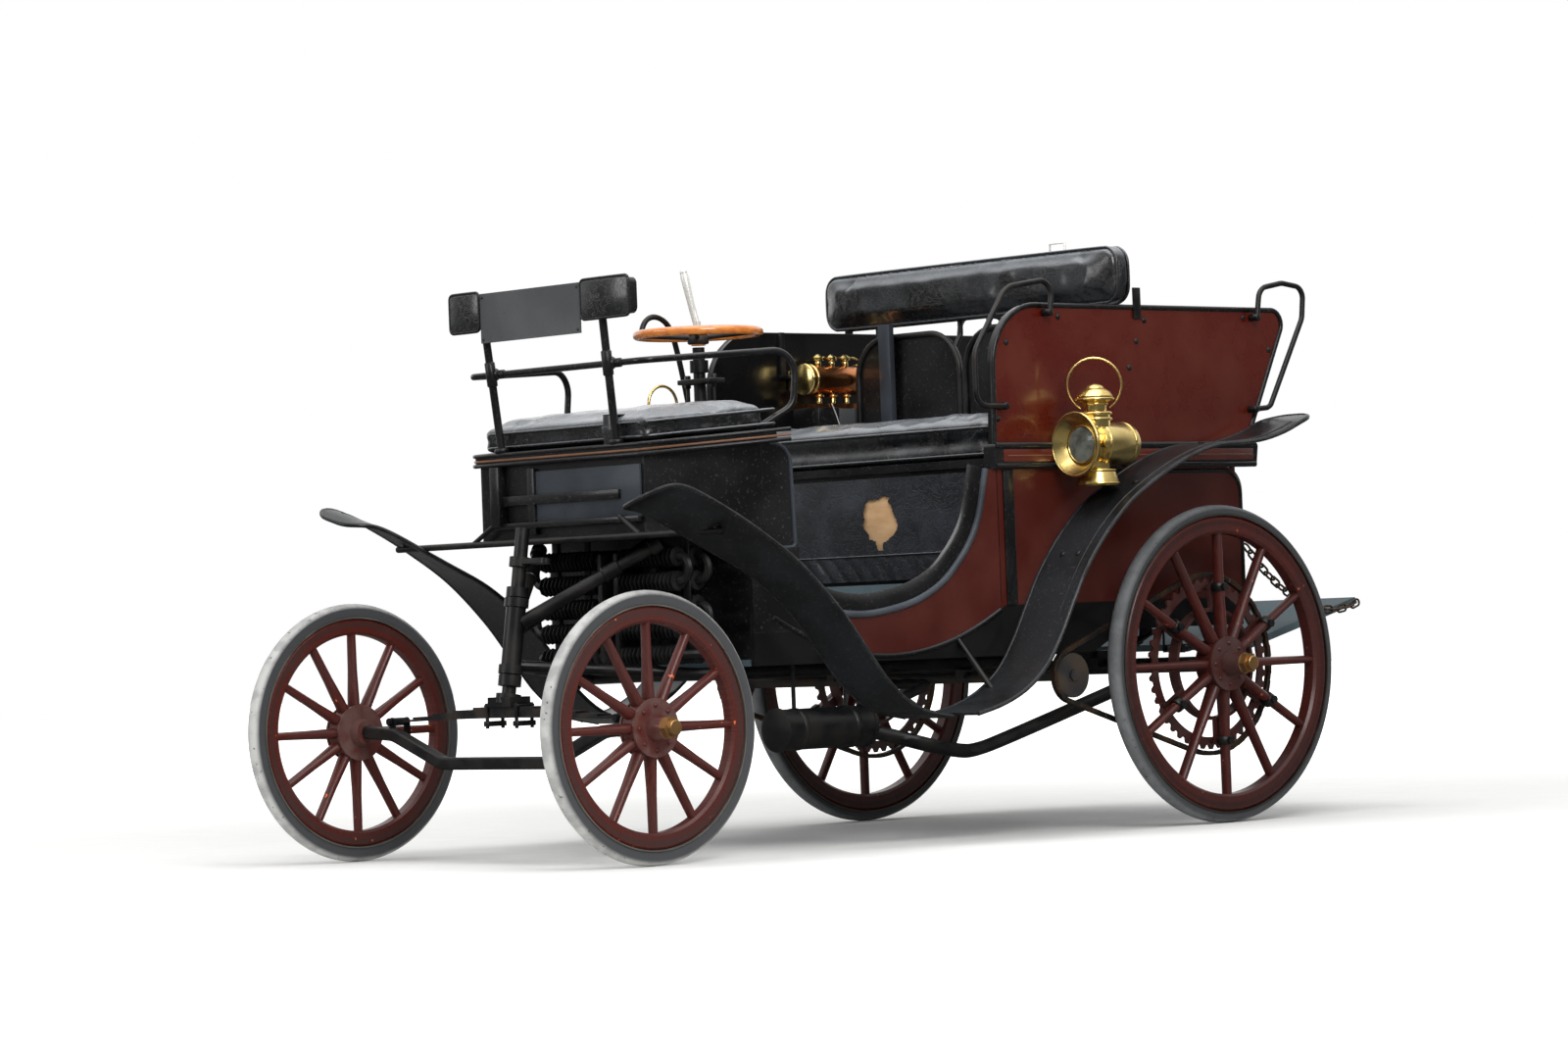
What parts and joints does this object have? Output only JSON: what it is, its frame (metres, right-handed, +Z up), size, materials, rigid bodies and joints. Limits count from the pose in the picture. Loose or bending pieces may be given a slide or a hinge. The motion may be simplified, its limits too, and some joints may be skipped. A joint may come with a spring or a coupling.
{
  "type": "brass era car",
  "caption": "Veteran dogcart motor car with wooden spoked wheels, centre-pivot steering, back-to-back benches, a rear-facing front bench and a folding tailboard.",
  "frame": {"origin": "on the ground at the middle of the length and width", "axes": "+X to the car's left, -Y to its front, +Z up"},
  "size_m": [1.75, 3.2003, 1.653],
  "materials": {
    "black_paint": "gloss black coach paint, dulled",
    "maroon_paint": "gloss maroon coach paint",
    "wheel_wood": "oxblood painted ash, satin",
    "wheel_metal": "painted steel with brass nut",
    "tyre_rubber": "grey solid rubber, worn",
    "black_leather": "black leather, semi-gloss",
    "iron": "black enamelled iron",
    "spring_steel": "oily spring steel",
    "radiator_metal": "dull blackened gilled tube",
    "floor_wood": "grey-blue painted boards",
    "plate_paint": "weathered grey paint, blank",
    "brass": "polished brass",
    "copper": "polished copper",
    "rim_wood": "varnished orange-brown wood",
    "lever_metal": "silvered metal",
    "engine_iron": "cast iron",
    "chain_steel": "oily steel"
  },
  "bodies": {
    "root": {"chassis_frame": "iron", "body_floor": "floor_wood", "front_seat_box": "black_paint", "body_side_left": "maroon_paint", "body_side_right": "maroon_paint", "rear_panel": "maroon_paint", "seat_side_left": "maroon_paint", "seat_side_right": "maroon_paint", "seat_frame": "black_paint", "front_cushion": "black_leather", "driver_cushion": "black_leather", "rear_cushion": "black_leather", "back_pad": "black_leather", "leather_apron": "black_leather", "front_handrail": "iron", "back_board": "black_paint", "number_plate": "plate_paint", "seat_irons": "iron", "front_wing_left": "black_paint", "front_wing_right": "black_paint", "wing_irons": "iron", "rear_wing_left": "black_paint", "rear_wing_right": "black_paint", "radiator": "radiator_metal", "engine_block": "engine_iron", "rear_axle": "iron", "steering_column": "iron", "lubricator": "copper", "side_lamps": "brass", "exhaust_pipe": "iron", "drive_chains": "chain_steel", "countershaft": "iron", "tailboard_chains": "chain_steel", "tailboard_hinges": "iron"},
    "steering_body": {"king_post": "iron", "front_spring": "spring_steel", "front_axle": "iron"},
    "front_left": {"front_wheel_left": "wheel_wood", "front_hub_left": "wheel_metal", "front_tyre_left": "tyre_rubber"},
    "front_right": {"front_wheel_right": "wheel_wood", "front_hub_right": "wheel_metal", "front_tyre_right": "tyre_rubber"},
    "rear_left": {"rear_wheel_left": "wheel_wood", "rear_hub_left": "wheel_metal", "rear_tyre_left": "tyre_rubber"},
    "rear_right": {"rear_wheel_right": "wheel_wood", "rear_hub_right": "wheel_metal", "rear_tyre_right": "tyre_rubber"},
    "hand_wheel": {"steering_wheel": "rim_wood", "hand_lever": "lever_metal"},
    "tail_board": {"tailboard": "floor_wood"}
  },
  "joints": [
    {"name": "steering", "type": "hinge", "parent": "root", "child": "steering_body", "pos_m": [0, -1.212, 0.356], "axis": [0, 0.1564, 0.9877], "range_deg": [-20, 20]},
    {"name": "front_left_spin", "type": "hinge", "parent": "steering_body", "child": "front_left", "pos_m": [0.625, -1.243, 0.356], "axis": [1, 0, 0], "continuous": true},
    {"name": "front_right_spin", "type": "hinge", "parent": "steering_body", "child": "front_right", "pos_m": [-0.625, -1.243, 0.356], "axis": [1, 0, 0], "continuous": true},
    {"name": "rear_left_spin", "type": "hinge", "parent": "root", "child": "rear_left", "pos_m": [0.75, 0.801, 0.451], "axis": [1, 0, 0], "continuous": true},
    {"name": "rear_right_spin", "type": "hinge", "parent": "root", "child": "rear_right", "pos_m": [-0.75, 0.801, 0.451], "axis": [1, 0, 0], "continuous": true},
    {"name": "hand_wheel_turn", "type": "hinge", "parent": "root", "child": "hand_wheel", "pos_m": [0, -0.473, 1.427], "axis": [0, 0, 1], "range_deg": [-40, 40]},
    {"name": "tailboard_fold", "type": "hinge", "parent": "root", "child": "tail_board", "pos_m": [0, 1.098, 0.492], "axis": [1, 0, 0], "range_deg": [0, 76]}
  ],
  "couplings": [
    {"joint": "hand_wheel_turn", "follows": "steering", "ratio": 2}
  ]
}
